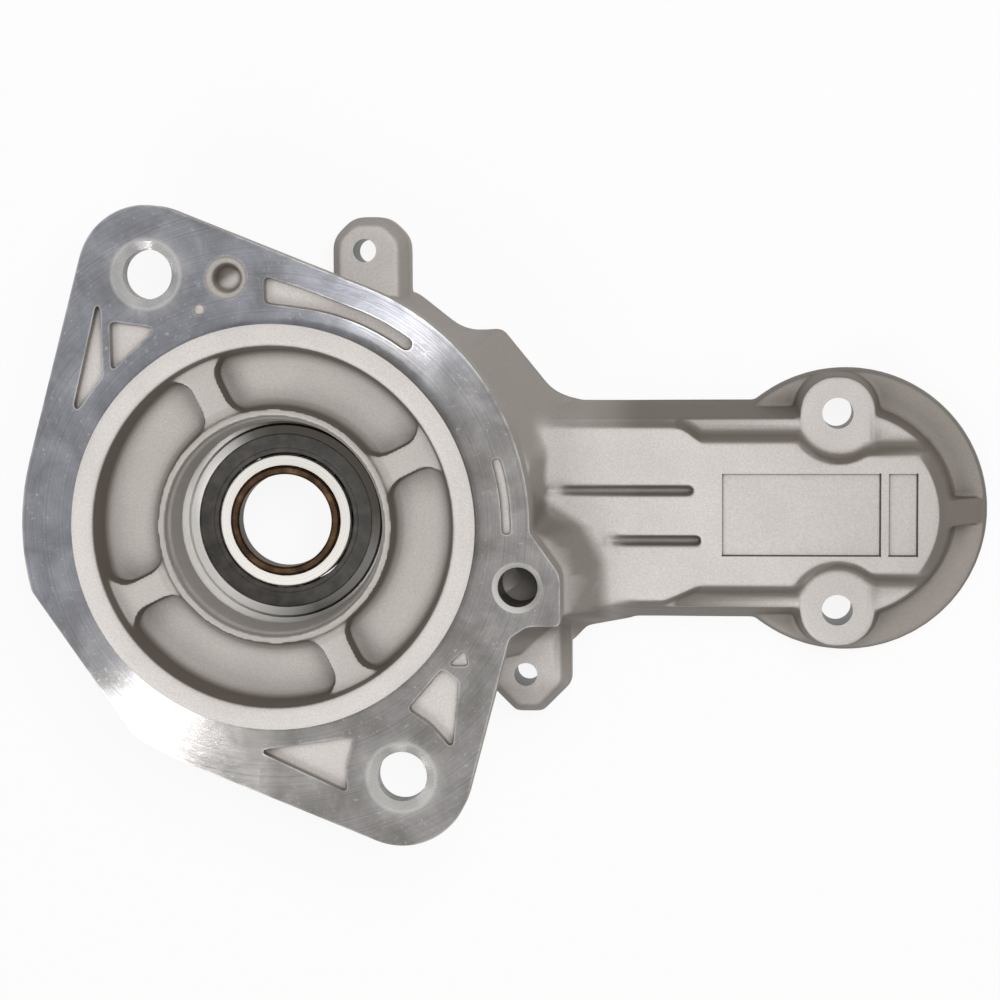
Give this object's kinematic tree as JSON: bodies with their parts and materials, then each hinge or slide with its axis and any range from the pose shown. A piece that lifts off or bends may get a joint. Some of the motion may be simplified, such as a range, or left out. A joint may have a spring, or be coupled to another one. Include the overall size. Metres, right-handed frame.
{
  "type": "starter pinion cover",
  "caption": "Cast end cover of an offset-gear starter: bolted flange with pilot, bearing for the pinion shaft, and a lever arm out to the solenoid seat.",
  "frame": {"origin": "on the pinion axis, in the machined engine-side flange face, at the foot of the pilot ring", "axes": "+Z along the pinion axis towards the engine, +X along the lever arm from the pinion to the solenoid seat"},
  "size_m": [0.2049, 0.1348, 0.039],
  "materials": {
    "cast_aluminium": "as cast, shot blasted, with machined flange and seats",
    "ring_steel": "ground bearing steel",
    "ball_steel": "polished bearing steel",
    "rivet_steel": "plain steel",
    "cage_strip": "pressed steel strip",
    "bush_bronze": "oil-stained sintered bronze",
    "seal_rubber": "matt black"
  },
  "bodies": {
    "cover": {"housing": "cast_aluminium", "bearing_outer_ring": "ring_steel", "front_seal": "seal_rubber", "rear_seal": "seal_rubber"},
    "pinion_sleeve": {"bearing_inner_ring": "ring_steel", "pinion_bush": "bush_bronze"},
    "ball_train": {"cage_front": "cage_strip", "cage_rear": "cage_strip", "cage_rivets": "rivet_steel"},
    "rolling_ball_1": {"ball_1": "ball_steel"},
    "rolling_ball_2": {"ball_2": "ball_steel"},
    "rolling_ball_3": {"ball_3": "ball_steel"},
    "rolling_ball_4": {"ball_4": "ball_steel"},
    "rolling_ball_5": {"ball_5": "ball_steel"},
    "rolling_ball_6": {"ball_6": "ball_steel"},
    "rolling_ball_7": {"ball_7": "ball_steel"},
    "rolling_ball_8": {"ball_8": "ball_steel"},
    "rolling_ball_9": {"ball_9": "ball_steel"},
    "rolling_ball_10": {"ball_10": "ball_steel"}
  },
  "joints": [
    {"name": "sleeve_spin", "type": "hinge", "parent": "cover", "child": "pinion_sleeve", "pos_m": [0, 0, -0.022], "axis": [0, 0, 1], "continuous": true},
    {"name": "cage_orbit", "type": "hinge", "parent": "cover", "child": "ball_train", "pos_m": [0, 0, -0.022], "axis": [0, 0, 1], "continuous": true},
    {"name": "roll_1", "type": "hinge", "parent": "ball_train", "child": "rolling_ball_1", "pos_m": [0.01321, 0.0096, -0.022], "axis": [0, 0, 1], "continuous": true},
    {"name": "roll_2", "type": "hinge", "parent": "ball_train", "child": "rolling_ball_2", "pos_m": [0.00504, 0.01553, -0.022], "axis": [0, 0, 1], "continuous": true},
    {"name": "roll_3", "type": "hinge", "parent": "ball_train", "child": "rolling_ball_3", "pos_m": [-0.00504, 0.01553, -0.022], "axis": [0, 0, 1], "continuous": true},
    {"name": "roll_4", "type": "hinge", "parent": "ball_train", "child": "rolling_ball_4", "pos_m": [-0.01321, 0.0096, -0.022], "axis": [0, 0, 1], "continuous": true},
    {"name": "roll_5", "type": "hinge", "parent": "ball_train", "child": "rolling_ball_5", "pos_m": [-0.01632, 0, -0.022], "axis": [0, 0, 1], "continuous": true},
    {"name": "roll_6", "type": "hinge", "parent": "ball_train", "child": "rolling_ball_6", "pos_m": [-0.01321, -0.0096, -0.022], "axis": [0, 0, 1], "continuous": true},
    {"name": "roll_7", "type": "hinge", "parent": "ball_train", "child": "rolling_ball_7", "pos_m": [-0.00504, -0.01553, -0.022], "axis": [0, 0, 1], "continuous": true},
    {"name": "roll_8", "type": "hinge", "parent": "ball_train", "child": "rolling_ball_8", "pos_m": [0.00504, -0.01553, -0.022], "axis": [0, 0, 1], "continuous": true},
    {"name": "roll_9", "type": "hinge", "parent": "ball_train", "child": "rolling_ball_9", "pos_m": [0.01321, -0.0096, -0.022], "axis": [0, 0, 1], "continuous": true},
    {"name": "roll_10", "type": "hinge", "parent": "ball_train", "child": "rolling_ball_10", "pos_m": [0.01632, 0, -0.022], "axis": [0, 0, 1], "continuous": true}
  ],
  "couplings": [
    {"joint": "cage_orbit", "follows": "sleeve_spin", "ratio": 0.41123},
    {"joint": "roll_1", "follows": "sleeve_spin", "ratio": -2.7273},
    {"joint": "roll_2", "follows": "sleeve_spin", "ratio": -2.7273},
    {"joint": "roll_3", "follows": "sleeve_spin", "ratio": -2.7273},
    {"joint": "roll_4", "follows": "sleeve_spin", "ratio": -2.7273},
    {"joint": "roll_5", "follows": "sleeve_spin", "ratio": -2.7273},
    {"joint": "roll_6", "follows": "sleeve_spin", "ratio": -2.7273},
    {"joint": "roll_7", "follows": "sleeve_spin", "ratio": -2.7273},
    {"joint": "roll_8", "follows": "sleeve_spin", "ratio": -2.7273},
    {"joint": "roll_9", "follows": "sleeve_spin", "ratio": -2.7273},
    {"joint": "roll_10", "follows": "sleeve_spin", "ratio": -2.7273}
  ]
}
